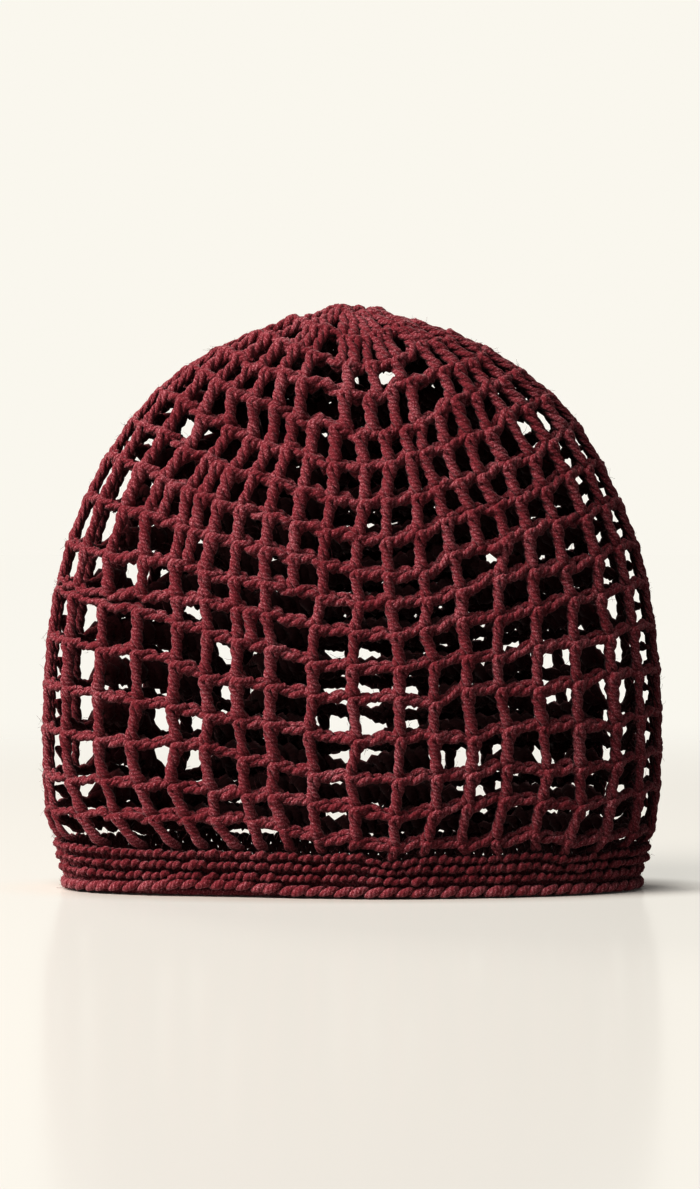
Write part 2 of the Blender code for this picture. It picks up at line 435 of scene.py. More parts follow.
def sweepYarn(name, strands, material, sides=5):
    # One mesh piece from strands, each given by its points, its radius and whether it closes
    lumps = np.random.default_rng(len(strands))
    curve = bpy.data.curves.new(name, "CURVE")
    curve.dimensions = "3D"
    for points, radius, closed in strands:
        spline = curve.splines.new("POLY")
        spline.points.add(len(points) - 1)
        rows = np.ones((len(points), 4), np.float32)
        rows[:, :3] = points
        spline.points.foreach_set("co", rows.ravel())
        uneven = lumps.normal(1, sweep["lumps"], len(points))
        lumpy = radius * np.clip(uneven, *sweep["lumpLimits"])
        spline.points.foreach_set("radius", lumpy.astype(np.float32))
        spline.use_cyclic_u = closed
    guide = addObject(name + "Guide", curve)
    if sides not in sweepTrees:
        sweepTrees[sides] = makeSweepTree(sides)
    modifier = guide.modifiers.new("sweep", "NODES")
    modifier.node_group = sweepTrees[sides]
    depsgraph = bpy.context.evaluated_depsgraph_get()
    made = bpy.data.meshes.new_from_object(guide.evaluated_get(depsgraph))
    bpy.data.objects.remove(guide)
    bpy.data.curves.remove(curve)
    made.name = name
    made.materials.clear()
    made.materials.append(material)
    piece = addObject(name, made)
    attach(piece, "root")
    triangles = sum(len(face.vertices) - 2 for face in made.polygons)
    print(f"  {name}: {len(strands)} strands, {triangles} triangles")
    return piece


def keepAboveTable(points, radius):
    points[:, 2] = np.maximum(points[:, 2], radius * sweep["clearance"])


# Chain stitches that make the rounds
chain = {
    "linksInColumn": 3,
    "radius": 0.00116,
    "wide": 0.00140,            # from the chain's middle to a leg
    "deep": 0.00120,
    "out": -0.0004,
    "roll": 55,                 # degrees that the chain is tipped, its open side up
    "step": 0.0022,             # how far it climbs from one post to the next
    "stepBlend": 0.12,          # and the share of a column where it comes down again
    "upperFull": 0.27,          # the upper rounds are this much fuller
    "upperStart": 6,
    "upperRounds": 3,
    "sideThin": 0.35,           # and the sides this much thinner
    "sideReach": 0.090,
    "swell": 0.5,               # how far the yarn swells with its loops
    "link": (                   # along, wide, deep and thickness, for one link
        (0.10, -0.40, 0.70, 0.95),
        (0.60, -1.00, 0.70, 1.05),
        (1.12, -0.85, 0.00, 0.95),
        (1.36, 0.00, -0.60, 0.90),
        (1.12, 0.85, 0.00, 0.95),
        (0.60, 1.00, 0.70, 1.05),
        (0.10, 0.40, 0.70, 0.95),
        (0.55, 0.00, -1.10, 0.90),
    ),
    "uneven": 0.09,
}


def chainStrand(settings, links, lie, step=0.0, swell=0.0, first=0, last=None):
    # A chain worked to the photograph's left, closed unless it has a last link. For each turn,
    # lie gives a share of the way up, a lift, how far out it is and how full its loops are
    spots = np.arange(first, last or links)
    pattern = np.array(settings["link"])
    count = len(pattern)
    uneven = settings["uneven"]
    size = np.repeat(randomSource.normal(1, uneven, len(spots)), count)
    tilt = np.repeat(randomSource.normal(0, uneven * 2, len(spots)), count)
    slip = np.repeat(randomSource.normal(0, uneven, len(spots)), count)
    along, wide, deep, thick = np.tile(pattern, (len(spots), 1)).T
    along = np.repeat(spots, count) + along + slip
    wide = wide * settings["wide"] * size
    deep = deep * settings["deep"] * size
    roll = math.radians(settings["roll"]) + tilt
    up = wide * np.cos(roll) + deep * np.sin(roll)
    away = deep * np.cos(roll) - wide * np.sin(roll)
    rows = np.stack([along, up, away, thick * size], axis=1)
    if last is None:
        # A point more between each two, on a smooth curve through four
        after = np.roll(rows, -1, axis=0)
        later = np.roll(rows, -2, axis=0)
        before = np.roll(rows, 1, axis=0)
        after[-1:, 0] += links
        later[-2:, 0] += links
        before[:1, 0] -= links
        between = (9 * (rows + after) - before - later) / 16
        rows = np.stack([rows, between], axis=1).reshape(-1, 4)
    turn = -rows[:, 0] / links
    column = turn * mesh["columns"] % 1
    climb = step * (column - 0.5) * smoothStep((0.5 - np.abs(column - 0.5)) / chain["stepBlend"])
    share, lift, out, full = lie(turn)
    points = place(turn, share, 0.0, rows[:, 1] * full + climb + lift, rows[:, 2] * full + out)
    radius = settings["radius"] * rows[:, 3] * (1 + (full - 1) * swell)
    keepAboveTable(points, radius)
    return points, radius, last is None


def linksRound(level):
    # As many links as suit the round's length
    turns = np.linspace(0, 1, hat["planSteps"] + 1)
    points = place(turns, roundShare(turns, level))
    length = np.linalg.norm(np.diff(points, axis=0), axis=1).sum()
    return round(length / widestRound * mesh["columns"] * chain["linksInColumn"])


def netRounds(first, last):
    strands = []
    for level in range(first, last):
        upper = smoothStep((level - chain["upperStart"]) / chain["upperRounds"])

        def lie(turn, level=level, upper=upper):
            thin = 1 - chain["sideThin"] * sideShare(turn, chain["sideReach"])
            return roundShare(turn, level), 0, chain["out"], (1 + chain["upperFull"] * upper) * thin

        strands.append(chainStrand(
            chain, linksRound(level), lie, step=chain["step"], swell=chain["swell"]))
    return strands


# The back's fill: fuller rounds that lie inside its net and close most of its holes, in yarn painted
# darker as shade, so the holes look dark
backFill = {
    "first": 0.52,              # start and end, as shares of the round from the right side
    "last": 0.98,
    "reach": 0.218,             # how far they reach each way from the middle of the back
    "blend": 0.040,
    "out": -0.0050,
    "openOut": (0.3, 0.7),      # share of it where they are open, and what closed ones add
    "rise": 0.5,                # rounds above those of the net
    "full": 2.32,               # how much taller its loops are
    "thin": 0.80,               # and where they are open
    "uneven": 0.14,
    "cells": 2,
    "swell": 0.92,              # how far the yarn swells with them
    "daylight": (               # across, height and half sizes of where light shows through
        (0.001, 0.056, 0.013, 0.019),
        (0.021, 0.061, 0.008, 0.010),
        (-0.061, 0.055, 0.013, 0.008),
        (-0.059, 0.041, 0.012, 0.007),
        (-0.042, 0.068, 0.010, 0.013),
        (-0.083, 0.139, 0.008, 0.011),
        (-0.089, 0.125, 0.008, 0.012),
        (-0.094, 0.110, 0.008, 0.013),
        (-0.074, 0.107, 0.008, 0.008),
        (-0.056, 0.093, 0.006, 0.006),
        (-0.094, 0.060, 0.006, 0.050),
        (0.071, 0.071, 0.012, 0.014),
        (0.091, 0.068, 0.006, 0.044),
        (0.045, 0.024, 0.010, 0.006),
        (0.037, 0.040, 0.011, 0.007),
        (0.047, 0.081, 0.008, 0.008),
        (0.049, 0.115, 0.008, 0.007),
        (0.056, 0.134, 0.006, 0.005),
        (0.064, 0.156, 0.009, 0.010),
        (0.009, 0.171, 0.010, 0.006),
        (0.037, 0.177, 0.007, 0.005),
        (-0.058, 0.155, 0.006, 0.006),
        (-0.029, 0.154, 0.005, 0.004),
        (-0.005, 0.026, 0.012, 0.006),
        (0.068, 0.038, 0.007, 0.006),
    ),
}
backFillTable = randomSource.normal(0, backFill["uneven"], cells)


def openness(turn, share):
    # 1 at the back where daylight shows through to the front, 0 where it doesn't
    spot = lookUp(turn, share)[..., 0, :]
    nearer = shot["distance"] / (shot["distance"] + spot[..., 1])
    across = shot["aimAcross"] + (spot[..., 0] - shot["aimAcross"]) * nearer
    height = shot["eyeHeight"] + (spot[..., 2] - shot["eyeHeight"]) * nearer
    amount = np.zeros(across.shape)
    for middle, level, wide, tall in backFill["daylight"]:
        apart = ((across - middle) / wide) ** 2 + ((height - level) / tall) ** 2
        amount = np.maximum(amount, np.exp(-apart ** 2))
    return amount


def backFillStrands():
    strands = []
    for level in range(levels - 1):
        def lie(turn, level=level):
            rise = backFill["rise"] * (1 - openness(turn, roundShare(turn, level + backFill["rise"])))
            share = roundShare(turn, level + rise)
            apart = np.abs(turn % 1 - 0.25)
            back = smoothStep((backFill["reach"] - apart) / backFill["blend"])
            closed = back * (1 - openness(turn, share))
            uneven = wobble(backFillTable, turn * mesh["columns"], share * levels, backFill["cells"])
            full = backFill["thin"] + (backFill["full"] - backFill["thin"] + uneven) * closed
            least, gain = backFill["openOut"]
            return share, 0, backFill["out"] * (least + gain * closed), full

        links = linksRound(level)
        strands.append(chainStrand(
            chain, links, lie, swell=backFill["swell"],
            first=round(links * backFill["first"]), last=round(links * backFill["last"])))
    return strands


# Posts: three plies wound into a rope, and a strand that hooks over the head
post = {
    "plies": 3,
    "plyRadius": 0.00120,
    "plyShare": (0.85, 0.15),   # of that radius, and what it gains with the rope's width
    "twistRadius": 0.00116,
    "pitch": 0.0120,
    "rope": (                   # rise, across, out and how wide the rope is, from foot to head
        (-0.08, 0.0002, -0.0015, 0.55),
        (0.04, -0.0001, -0.0003, 0.95),
        (0.18, -0.0003, 0.0008, 1.10),
        (0.38, -0.0003, 0.0007, 0.80),
        (0.62, -0.0003, 0.0007, 0.85),
        (0.84, -0.0001, 0.0010, 1.20),
        (0.96, 0.0002, 0.0008, 1.25),
        (1.05, 0.0002, -0.0004, 0.75),
    ),
    "hookRadius": 0.00122,
    "hook": (                   # rise, across and out
        (0.76, -0.0009, 0.0006),
        (0.84, -0.0011, 0.0015),
        (0.93, -0.0010, 0.0021),
        (0.99, 0.0000, 0.0022),
        (0.99, 0.0014, 0.0018),
        (1.01, 0.0028, 0.0010),
        (1.05, 0.0041, -0.0002),
    ),
    "curveSteps": 2,            # points from one row to the next
    "uneven": 0.07,
    "shortest": 0.60,           # thickness of a post of no height; a tall one is whole
    "tall": 0.026,
    "least": 0.0070,            # where two rounds lie closer, no post stands between them
    "sunk": 0.0018,             # how far the lowest posts' feet are sunk into the band
    "upperFull": 0.06,          # the posts of the upper rounds are this much fuller
    "upperStart": 0.42,
    "upperEnd": 0.60,
    "crownStart": 0.72,         # and the crown's are not
    "crownEnd": 0.86,
    "sideThin": 0.36,           # those at the sides are this much thinner
    "sideReach": 0.060,
    "sideFlat": 0.7,            # and stand out this much less
}


def postColumns(level):
    # The columns that stand between a level and the next
    if level in mesh["crownPosts"]:
        count = mesh["crownPosts"][level]
        columns = (np.arange(count) + 0.5) * mesh["columns"] / count
        first, low, high = mesh["crownDense"]
        between = columns + mesh["columns"] / count / 2
        dense = (between > low) & (between < high) & (level >= first)
        return np.sort(np.append(columns, between[dense]))
    columns = list(range(mesh["columns"]))
    columns += [(first + last) / 2 for first, last, start in mesh["extraPosts"] if level >= start]
    columns += [column for column, row in mesh["doubles"] if row == level]
    return np.array(sorted(columns), float)


def postSize(share):
    upper = smoothStep((share - post["upperStart"]) / (post["upperEnd"] - post["upperStart"]))
    inCrown = smoothStep((share - post["crownStart"]) / (post["crownEnd"] - post["crownStart"]))
    even = 1 + post["upperFull"] * upper * (1 - inCrown)
    return float(randomSource.normal(1, post["uneven"]) * even)


def postLine(table, level, column):
    # A table's rows on a smooth curve, where they lie on the wall, and how flat they are there
    rows = smoothBetween(post[table], post["curveSteps"])
    turn = columnTurn(column, level + rows[:, 0])
    share = roundShare(turn, level + rows[:, 0])
    return rows, turn, share, 1 - post["sideFlat"] * sideShare(turn)


def postStrands(level, column):
    # The plies wind round the line from a post's foot to its head
    rows, turn, share, flat = postLine("rope", level, column)
    steps = np.linalg.norm(np.diff(place(turn, share), axis=0), axis=1)
    height = np.concatenate([[0], np.cumsum(steps)])
    if level > 0 and height[-1] < post["least"]:
        return []
    size = postSize(share[0]) * (1 - post["sideThin"] * sideShare(turn[0], post["sideReach"]))
    size *= min(1, post["shortest"] + height[-1] / post["tall"])
    sunk = post["sunk"] * smoothStep(1 - 2 * rows[:, 0]) if level == 0 else 0
    wound = post["twistRadius"] * size * rows[:, 3]
    least, gain = post["plyShare"]
    radius = post["plyRadius"] * size * (least + gain * rows[:, 3])
    start = randomSource.uniform(0, math.tau)
    strands = []
    for ply in range(post["plies"]):
        angle = start + math.tau * ply / post["plies"] + math.tau * height / post["pitch"]
        across = rows[:, 1] * size + wound * np.cos(angle)
        out = rows[:, 2] * flat - sunk + wound * np.sin(angle)
        strands.append((place(turn, share, across, 0, out), radius, False))
    rows, turn, share, flat = postLine("hook", level, column)
    points = place(turn, share, rows[:, 1] * size, 0, rows[:, 2] * size * flat)
    strands.append((points, post["hookRadius"] * size, False))
    return strands


def netPosts(first, last):
    strands = []
    for level in range(first, last):
        for column in postColumns(level):
            strands += postStrands(level, column)
    return strands


# Close rounds of the band: rows of small knobs on top of a zigzag of legs
band = {
    "rounds": 3,
    "links": 166,
    "moreLinks": 2,             # from one round to the next
    "start": 0.0046,            # climb above the rim
    "radius": 0.00088,
    "wide": 0.00055,
    "deep": 0.00110,
    "roll": 8,
    "sideIn": 0.0007,           # how far it is drawn in at the sides
    "uneven": 0.14,
    "link": (
        (0.02, -0.70, -0.60, 0.85),
        (0.10, 0.30, 0.30, 1.00),
        (0.36, 0.90, 0.95, 1.15),
        (0.66, 0.10, 1.05, 1.15),
        (0.88, -0.90, 0.50, 0.95),
        (0.96, -1.00, -0.50, 0.80),
    ),
    "legLinks": 140,
    "legPoints": 6,
    "legRadius": 0.00105,
    "legTall": 0.50,            # shares of a round
    "legDrop": 0.45,
    "legDepth": -0.0021,
    "legFlat": 0.6,             # how much less deep at the sides
    "legSway": 0.0004,
}


def bandShare(turn, number):
    # How far up the way the middle of one of the band's rounds lies
    bottom = band["start"] / wayLength(turn)
    return bottom + (roundShare(turn, 0) - bottom) * (number + 0.5) / band["rounds"]


def legStrand(number):
    steps = band["legLinks"] * band["legPoints"]
    spot = np.arange(steps) / steps
    phase = spot * band["legLinks"] * math.tau
    tall = (roundShare(spot, 0) * wayLength(spot) - band["start"]) / band["rounds"]
    up = tall * (band["legTall"] * np.sin(phase) - band["legDrop"])
    depth = band["legDepth"] * (1 - band["legFlat"] * sideShare(spot))
    points = place(spot, bandShare(spot, number), 0, up, depth + band["legSway"] * np.cos(phase * 2))
    keepAboveTable(points, band["legRadius"])
    return points, band["legRadius"], True


def bandStrands():
    # The lowest legs have no knobs, because the edge covers their heads
    strands = [legStrand(-1)]
    for number in range(band["rounds"]):
        def lie(turn, number=number):
            return bandShare(turn, number), 0, -band["sideIn"] * sideShare(turn), 1

        strands.append(chainStrand(band, band["links"] + band["moreLinks"] * number, lie))
        strands.append(legStrand(number))
    return strands


# The edge round: large slanting links that stand on the table, over two plain strands
edge = {
    "links": 96,
    "climb": 0.0022,
    "radius": 0.00118,
    "wide": 0.00092,
    "deep": 0.00095,
    "roll": 2,
    "out": 0.0002,
    "sideIn": 0.0012,
    "uneven": 0.06,
    "link": (
        (-0.12, 1.10, -0.50, 0.62),
        (0.08, 1.05, 0.45, 0.86),
        (0.40, 0.50, 1.00, 1.20),
        (0.72, -0.25, 1.15, 1.22),
        (1.02, -0.95, 0.95, 0.86),
        (1.18, -1.15, 0.10, 0.55),
        (1.06, -0.10, -0.95, 0.70),
    ),
    "underClimbs": (0.0016, 0.0040),
    "underRadius": 0.00125,
    "underDepth": -0.0022,
    "underSteps": 360,
    "liftTurn": 0.640,          # where the rim lifts off the table, at the left of the front
    "liftFade": 0.055,
    "lift": 0.0022,
}


def edgeLie(turn):
    apart = (turn - edge["liftTurn"] + 0.5) % 1 - 0.5
    lift = edge["lift"] * np.exp(-(apart / edge["liftFade"]) ** 2)
    return edge["climb"] / wayLength(turn), lift, edge["out"] - edge["sideIn"] * sideShare(turn), 1


def edgeStrands():
    strands = [chainStrand(edge, edge["links"], edgeLie)]
    spot = np.linspace(0, 1, edge["underSteps"] + 1)[:-1]
    for climb in edge["underClimbs"]:
        under = place(spot, climb / wayLength(spot), 0, 0, edge["underDepth"])
        keepAboveTable(under, edge["underRadius"])
        strands.append((under, edge["underRadius"], True))
    return strands


# The closed start of the crown: two tight rounds inside the last ring and a knot on top
crown = {
    "rings": ((0.974, 9), (0.989, 5)),      # share of the way up and links
    "ringOut": -0.0004,
    "knotTurns": 3.5,
    "knotRadius": 0.0016,
    "knotArc": (0.15, 0.80),    # start and reach on half a ball's outline
    "knotTall": 0.00192,
    "knotPoints": 36,
    "knotYarn": 0.0010,
}


def crownStrands():
    strands = []
    for share, links in crown["rings"]:
        strands.append(chainStrand(
            chain, links, lambda turn, share=share: (share, 0, crown["ringOut"], 1)))
    spin = np.linspace(0, 1, crown["knotPoints"])
    angle = spin * crown["knotTurns"] * math.tau
    low, covered = crown["knotArc"]
    reach = crown["knotRadius"] * np.sin(math.pi * (low + covered * spin))
    top = place(0.0, 1.0)
    knot = np.stack([
        top[0] + reach * np.cos(angle),
        top[1] + reach * np.sin(angle),
        top[2] - crown["knotTall"] * (1 - spin),
    ], axis=1)
    strands.append((knot, crown["knotYarn"], False))
    return strands


# Loose fibres that stand off the yarn
fluff = {
    "count": 4800,
    "points": 4,
    "length": (0.0016, 0.0052),
    "radius": (0.000040, 0.000080),
    "tip": 0.4,                 # a tip's share of the radius
    "start": 0.0005,            # how far out a fibre starts
    "spread": 0.0012,           # and how far aside
    "rise": (-0.2, 0.7),        # radians off the wall
    "bend": 1.4,
    "lowest": 0.0003,
}


def looseFibres():
    # Short curved hairs that leave the posts and rounds in every direction
    strands = []
    for number in range(fluff["count"]):
        level = randomSource.uniform(-1.0, levels - 2)
        column = randomSource.uniform(0, mesh["columns"])
        if randomSource.random() < 0.5:
            column = round(column)
        else:
            level = round(level)
        turn = columnTurn(column, max(level, 0))
        share = float(roundShare(turn, max(level, 0)))
        if level < 0:
            share *= 1 + level      # on the band
        length = randomSource.uniform(*fluff["length"])
        heading = randomSource.uniform(0, math.tau)
        bend = randomSource.normal(0, fluff["bend"])
        rise = randomSource.uniform(*fluff["rise"])
        step = length / (fluff["points"] - 1)
        across = randomSource.normal(0, fluff["spread"])
        up = randomSource.normal(0, fluff["spread"])
        out = fluff["start"]
        rows = []
        for part in range(fluff["points"]):
            rows.append((across, up, out))
            across += step * math.cos(heading) * math.cos(rise)
            up += step * math.sin(heading) * math.cos(rise)
            out += step * math.sin(rise)
            heading += bend / (fluff["points"] - 1)
        across, up, out = np.array(rows).T
        thin = np.linspace(1, fluff["tip"], fluff["points"])
        radius = randomSource.uniform(*fluff["radius"]) * thin
        points = place(turn, share, across, up, out)
        points[:, 2] = np.maximum(points[:, 2], fluff["lowest"])
        strands.append((points, radius, False))
    return strands


# Materials
yarn = {
    "dark": (0.066, 0.0038, 0.0062, 1),
    "middle": (0.208, 0.0305, 0.0435, 1),
    "light": (0.700, 0.3800, 0.4200, 1),
    "middleAt": 0.55,           # where the middle colour stands between dark and light
    "tone": 0.58,
    "grooveShadeTone": -0.26,        # what the grooves, fibres and patches add to it: painted shade in the grooves, random tone in the rest
    "fibreTone": 1.15,
    "patchTone": 0.32,
    "netShade": 0.0,            # and each piece's own tone; the back fill's is painted shade
    "backFillShade": -0.34,
    "bandShade": -0.03,
    "edgeShade": 0.02,
    "inside": (0.022, 0.0025, 0.0036, 1),       # in the hollow, in deep shade
    "hollowScale": (90, 450, 50),
    "hollowShift": (0, 0, -2),
    "hollowSide": -0.055,       # towards the key light the shade fades from here
    "hollowLeft": 0.35,
    "hollowStart": 0.05,
    "hollowEnd": -0.55,
    "roughness": 0.82,
    "sheen": 0.23,
    "sheenRoughness": 0.45,
    "sheenTint": (0.95, 0.76, 0.77, 1),
    "specular": 0.12,
    "plies": 3.0,
    "plyPitch": 0.0042,
    "plyRound": 0.6,            # less than 1 makes a ply's back rounder
    "grooveSharp": 0.5,
    "fibreScale": 2600.0,
    "fibreDetail": 3.0,
    "patchScale": 90.0,
    "patchDetail": 2.0,
    "bump": 0.00013,
    "fuzz": 0.00012,
}


def newMaterial(name):
    material = bpy.data.materials.new(name)
    material.use_nodes = True
    return material, material.node_tree


def newGroup(name, vectors, numbers, outputs):
    group = bpy.data.node_groups.new(name, "ShaderNodeTree")
    for labels, way, kind in (
        (vectors, "INPUT", "NodeSocketVector"),
        (numbers, "INPUT", "NodeSocketFloat"),
        (outputs, "OUTPUT", "NodeSocketFloat"),
    ):
        for label in labels:
            group.interface.new_socket(label, in_out=way, socket_type=kind)
    return group, addNode(group, "NodeGroupInput"), addNode(group, "NodeGroupOutput")


def mathNode(tree, operation, *values):
    return addNode(tree, "ShaderNodeMath", dict(enumerate(values)), operation=operation).outputs[0]


def vectorNode(tree, operation, *values):
    return addNode(tree, "ShaderNodeVectorMath", dict(enumerate(values)), operation=operation)


def blendNode(tree, value, start, end, low=0.0, high=1.0, kind="SMOOTHSTEP"):
    values = {"Value": value, "From Min": start, "From Max": end, "To Min": low, "To Max": high}
    node = addNode(tree, "ShaderNodeMapRange", values, interpolation_type=kind)
    return node.outputs["Result"]


def mixShaders(tree, share, first, second):
    values = {"Fac": share, 1: first, 2: second}
    return addNode(tree, "ShaderNodeMixShader", values).outputs["Shader"]


def makeTwistGroup():
    # Plies that wind round the strand: height 1 on a ply, and the groove between two, a mask for
    # painted shade
    group, given, made = newGroup(
        "plyTwist", ["Side"], ["Along", "Pitch", "Plies"], ["Height", "GrooveShade"])
    split = addNode(group, "ShaderNodeSeparateXYZ", {0: given.outputs["Side"]})
    angle = mathNode(group, "ARCTAN2", split.outputs["Y"], split.outputs["X"])
    turns = mathNode(group, "DIVIDE", given.outputs["Along"], given.outputs["Pitch"])
    wound = mathNode(group, "MULTIPLY_ADD", turns, math.tau, angle)
    half = mathNode(group, "MULTIPLY", given.outputs["Plies"], 0.5)
    wave = mathNode(group, "SINE", mathNode(group, "MULTIPLY", wound, half))
    height = mathNode(group, "ABSOLUTE", wave)
    groove = mathNode(group, "POWER", height, yarn["grooveSharp"])
    feed(group, made, {
        "Height": mathNode(group, "POWER", height, yarn["plyRound"]),
        "GrooveShade": mathNode(group, "SUBTRACT", 1.0, groove),
    })
    return group


def makeFuzzGroup():
    # Fine fibre relief and soft colour patches, both on object coordinates
    group, given, made = newGroup("yarnFuzz", ["Place"], ["Fine", "Patch"], ["Fibres", "Patches"])
    for output, size, detail in (
        ("Fibres", "Fine", "fibreDetail"),
        ("Patches", "Patch", "patchDetail"),
    ):
        noise = addNode(group, "ShaderNodeTexNoise", {
            "Vector": given.outputs["Place"],
            "Scale": given.outputs[size],
            "Detail": yarn[detail],
        })
        feed(group, made, {output: noise.outputs["Fac"]})
    return group


def makeHollowGroup():
    # 1 where the yarn's surface looks into the hat, where little light comes, and 0 outside
    group, given, made = newGroup("hollowShade", ["Place", "Normal"], [], ["Shade"])
    away = vectorNode(
        group, "MULTIPLY_ADD", given.outputs["Place"], yarn["hollowScale"], yarn["hollowShift"])
    unit = vectorNode(group, "NORMALIZE", away.outputs["Vector"])
    facing = vectorNode(group, "DOT_PRODUCT", unit.outputs["Vector"], given.outputs["Normal"])
    inward = blendNode(group, facing.outputs["Value"], yarn["hollowStart"], yarn["hollowEnd"])
    across = addNode(group, "ShaderNodeSeparateXYZ", {0: given.outputs["Place"]})
    side = blendNode(
        group, across.outputs["X"], -hat["width"] / 2, yarn["hollowSide"],
        low=yarn["hollowLeft"], kind="LINEAR")
    feed(group, made, {"Shade": mathNode(group, "MULTIPLY", inward, side)})
    return group


def makeYarnMaterial(name, effects, shade):
    material, tree = newMaterial(name)
    spot = addNode(tree, "ShaderNodeTexCoord")
    along = addNode(tree, "ShaderNodeAttribute", attribute_name=sweep["alongName"])
    side = addNode(tree, "ShaderNodeAttribute", attribute_name=sweep["sideName"])
    twist = addNode(tree, "ShaderNodeGroup", {
        "Along": along.outputs["Fac"],
        "Side": side.outputs["Vector"],
        "Pitch": yarn["plyPitch"],
        "Plies": yarn["plies"],
    }, node_tree=effects["twist"])
    fuzz = addNode(tree, "ShaderNodeGroup", {
        "Place": spot.outputs["Object"],
        "Fine": yarn["fibreScale"],
        "Patch": yarn["patchScale"],
    }, node_tree=effects["fuzz"])
    hollow = addNode(tree, "ShaderNodeGroup", {
        "Place": spot.outputs["Object"],
        "Normal": spot.outputs["Normal"],
    }, node_tree=effects["hollow"])
    # painted shade darkens the ply grooves; fibres and patches add random tone
    tone = mathNode(
        tree, "MULTIPLY_ADD", twist.outputs["GrooveShade"], yarn["grooveShadeTone"], yarn["tone"] + shade)
    for output, gain in (("Fibres", "fibreTone"), ("Patches", "patchTone")):
        centred = mathNode(tree, "SUBTRACT", fuzz.outputs[output], 0.5)
        tone = mathNode(tree, "MULTIPLY_ADD", centred, yarn[gain], tone)
    ramp = addNode(tree, "ShaderNodeValToRGB", {"Fac": tone})
    ramp.color_ramp.elements[0].color = yarn["dark"]
    ramp.color_ramp.elements[1].color = yarn["light"]
    ramp.color_ramp.elements.new(yarn["middleAt"]).color = yarn["middle"]
    # painted shade: yarn that faces into the hat is blended towards the inside colour
    colour = addNode(tree, "ShaderNodeMix", {
        "Factor": hollow.outputs["Shade"],
        "A": ramp.outputs["Color"],
        "B": yarn["inside"],
    }, data_type="RGBA")
    plyBump = addNode(tree, "ShaderNodeBump", {
        "Distance": yarn["bump"],
        "Height": twist.outputs["Height"],
    })
    fuzzBump = addNode(tree, "ShaderNodeBump", {
        "Distance": yarn["fuzz"],
        "Height": fuzz.outputs["Fibres"],
        "Normal": plyBump.outputs["Normal"],
    })
    feed(tree, tree.nodes["Principled BSDF"], {
        "Base Color": colour.outputs["Result"],
        "Normal": fuzzBump.outputs["Normal"],
        "Roughness": yarn["roughness"],
        "Specular IOR Level": yarn["specular"],
        "Sheen Weight": yarn["sheen"],
        "Sheen Roughness": yarn["sheenRoughness"],
        "Sheen Tint": yarn["sheenTint"],
    })
    return material


# Camera, table and light
def makeCamera():
    data = bpy.data.cameras.new("camera")
    drop = shot["eyeHeight"] - shot["aimHeight"]
    seen = shot["photoHeight"] / shot["hatPixels"] * hat["width"]
    data.sensor_width = shot["sensor"]
    data.lens = shot["sensor"] * math.hypot(shot["distance"], drop) / seen
    camera = addObject("camera", data)
    camera.location = (shot["aimAcross"], -shot["distance"], shot["eyeHeight"])
    camera.rotation_euler = (math.pi / 2 - math.atan2(drop, shot["distance"]), 0, 0)
    bpy.context.scene.camera = camera


studio = {
    "floorRadius": 9.0,
    "floorColour": (0.62, 0.60, 0.57, 1),
    "gloss": 0.10,
    "glossRoughness": 0.16,
    "nearGlow": 0.68,           # share of the table's brightness that no shadow darkens
    "shadowFootScale": (10.2, 22.0, 0),               # the hat's footprint as a unit circle, where a painted contact shadow lies
    "shadowFootStart": 0.92,          # the glow starts here and is whole at the end
    "shadowFootEnd": 1.40,
    "nearRadius": 0.40,         # the lit table ends here and starts to blend into the backdrop
    "farRadius": 1.10,
    "backdrop": (0.967, 0.947, 0.889, 1),
    "ambient": (1.0, 0.96, 0.90, 1),
    "ambientStrength": 0.10,
    "lights": (                 # name, place, target, size, power, colour
        ("keyLight", (-1.42, -0.72, 1.20), (0, 0, 0.10), 1.00, 60, (1.0, 0.95, 0.89)),
        ("topLight", (-0.30, -0.85, 1.55), (0, 0, 0.08), 0.60, 10, (1.0, 0.96, 0.91)),
        ("backLight", (-0.70, 1.25, 1.30), (0, 0, 0.08), 0.60, 14, (1.0, 0.96, 0.91)),
    ),
}


def seenDirectly(tree):
    # 1 for what the camera or a reflection sees, 0 for light that falls on things
    path = addNode(tree, "ShaderNodeLightPath")
    return mathNode(tree, "MAXIMUM", path.outputs["Is Camera Ray"], path.outputs["Is Glossy Ray"])


def makeFloor():
    disc = bmesh.new()
    bmesh.ops.create_circle(disc, cap_ends=True, segments=96, radius=studio["floorRadius"])
    data = bpy.data.meshes.new("floor")
    disc.to_mesh(data)
    disc.free()
    data.materials.append(makeFloorMaterial())
    floor = addObject("floor", data)


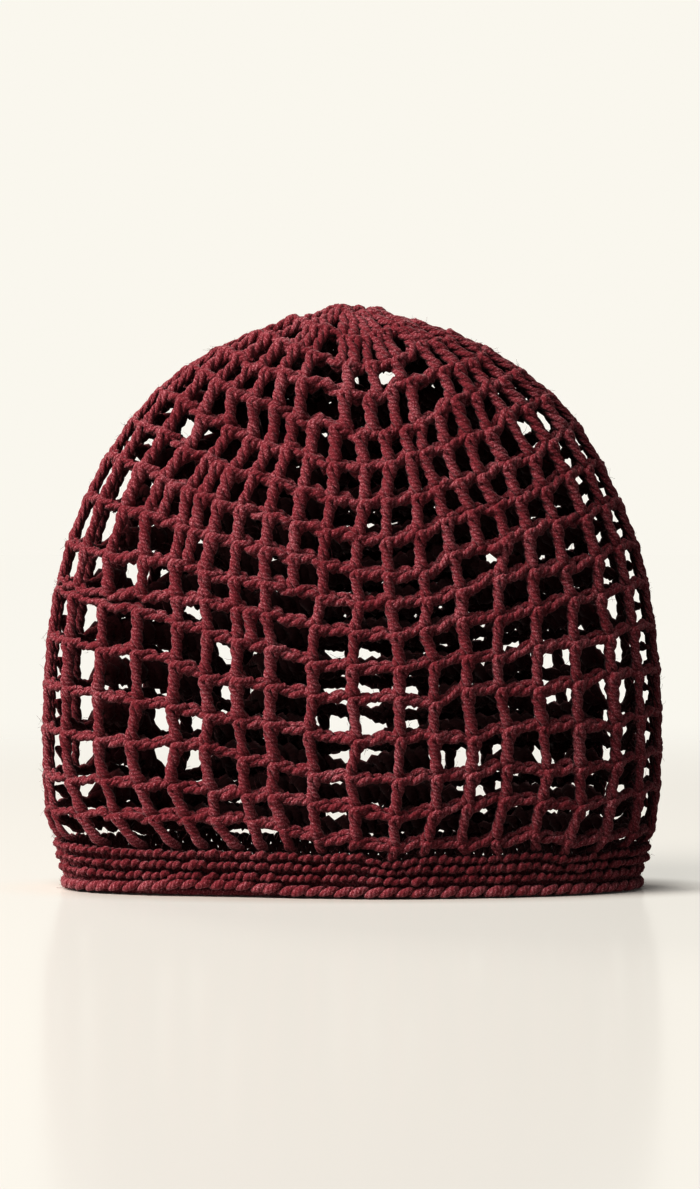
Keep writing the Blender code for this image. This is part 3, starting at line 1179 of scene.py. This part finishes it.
def makeFloorMaterial():
    # A pale, slightly glossy table that blends into the backdrop with distance. Near the hat, part of
    # it glows as painted light, and the glow fades out round and under the hat's footprint as a painted
    # contact shadow
    material, tree = newMaterial("paleTable")
    matte = tree.nodes["Principled BSDF"]
    feed(tree, matte, {
        "Base Color": studio["floorColour"],
        "Roughness": 1.0,
        "Specular IOR Level": 0.0,
    })
    unlit = addNode(tree, "ShaderNodeBsdfDiffuse", {"Color": (0, 0, 0, 1)})
    glow = addNode(tree, "ShaderNodeEmission", {"Color": studio["backdrop"]})
    distant = mixShaders(tree, seenDirectly(tree), unlit.outputs["BSDF"], glow.outputs["Emission"])
    spot = addNode(tree, "ShaderNodeTexCoord")
    # painted contact shadow: the near table's glow fades out under and round the hat's footprint
    foot = vectorNode(tree, "MULTIPLY", spot.outputs["Object"], studio["shadowFootScale"])
    shadowFootLength = vectorNode(tree, "LENGTH", foot.outputs["Vector"])
    nearGlow = blendNode(
        tree, shadowFootLength.outputs["Value"], studio["shadowFootStart"], studio["shadowFootEnd"],
        high=studio["nearGlow"])
    length = vectorNode(tree, "LENGTH", spot.outputs["Object"])
    blend = blendNode(
        tree, length.outputs["Value"], studio["nearRadius"], studio["farRadius"], low=nearGlow)
    table = mixShaders(tree, blend, matte.outputs["BSDF"], distant)
    gloss = addNode(tree, "ShaderNodeBsdfGlossy", {
        "Color": (1, 1, 1, 1),
        "Roughness": studio["glossRoughness"],
    })
    whole = mixShaders(tree, studio["gloss"], table, gloss.outputs["BSDF"])
    feed(tree, tree.nodes["Material Output"], {"Surface": whole})
    return material


def makeWorld():
    # A bright backdrop to look at, and a dim one that lights the hat
    world = bpy.data.worlds.new("studio")
    world.use_nodes = True
    tree = world.node_tree
    dim = tree.nodes["Background"]
    feed(tree, dim, {"Color": studio["ambient"], "Strength": studio["ambientStrength"]})
    bright = addNode(tree, "ShaderNodeBackground", {"Color": studio["backdrop"]})
    both = mixShaders(tree, seenDirectly(tree), dim.outputs["Background"], bright.outputs["Background"])
    feed(tree, tree.nodes["World Output"], {"Surface": both})
    bpy.context.scene.world = world


def makeLights():
    for name, location, target, size, power, colour in studio["lights"]:
        data = bpy.data.lights.new(name, "AREA")
        data.shape = "DISK"
        data.size = size
        data.energy = power
        data.color = colour
        light = addObject(name, data)
        light.location = location
        light.visible_camera = False
        aim = np.array(target) - np.array(location)
        tilt = math.acos(-aim[2] / np.linalg.norm(aim))
        light.rotation_euler = (tilt, 0, math.atan2(-aim[0], aim[1]))


bpy.context.scene.view_settings.view_transform = "Standard"
bpy.context.scene.view_settings.gamma = 0.75      # the photograph's deep shadows
makeCamera()
makeFloor()
makeWorld()
makeLights()
print("Camera, table and lights made")

effects = {
    "twist": makeTwistGroup(),
    "fuzz": makeFuzzGroup(),
    "hollow": makeHollowGroup(),
}
netYarn = makeYarnMaterial("netYarn", effects, yarn["netShade"])
# the back fill's yarn is painted darker, as shade
backFillYarn = makeYarnMaterial("backFillYarn", effects, yarn["backFillShade"])
bandYarn = makeYarnMaterial("bandYarn", effects, yarn["bandShade"])
edgeYarn = makeYarnMaterial("edgeYarn", effects, yarn["edgeShade"])
print("Yarn materials made")

middle, upper = mesh["parted"]
lowerRounds = sweepYarn("netLowerRounds", netRounds(1, middle), netYarn)
middleRounds = sweepYarn("netMiddleRounds", netRounds(middle, upper), netYarn)
upperRounds = sweepYarn("netUpperRounds", netRounds(upper, levels), netYarn)
sweepYarn("netLowerPosts", netPosts(0, middle), netYarn)
sweepYarn("netMiddlePosts", netPosts(middle, upper), netYarn)
sweepYarn("netUpperPosts", netPosts(upper, levels - 1), netYarn)
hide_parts("net_lower")
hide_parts("net_middle")
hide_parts("net_upper")
# the back's fill, a dark layer of painted shade inside the back's net
sweepYarn("netBackFill", backFillStrands(), backFillYarn)
crownPiece = sweepYarn("crownStart", crownStrands(), netYarn)
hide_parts("crown_centre")
bandPiece = sweepYarn("bandStitches", bandStrands(), bandYarn)
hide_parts("band")
edgePiece = sweepYarn("edgeBraidStitches", edgeStrands(), edgeYarn, sides=8)
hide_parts("edge_braid")
sweepYarn("looseFibre", looseFibres(), netYarn, sides=3)
print("Yarn worked")
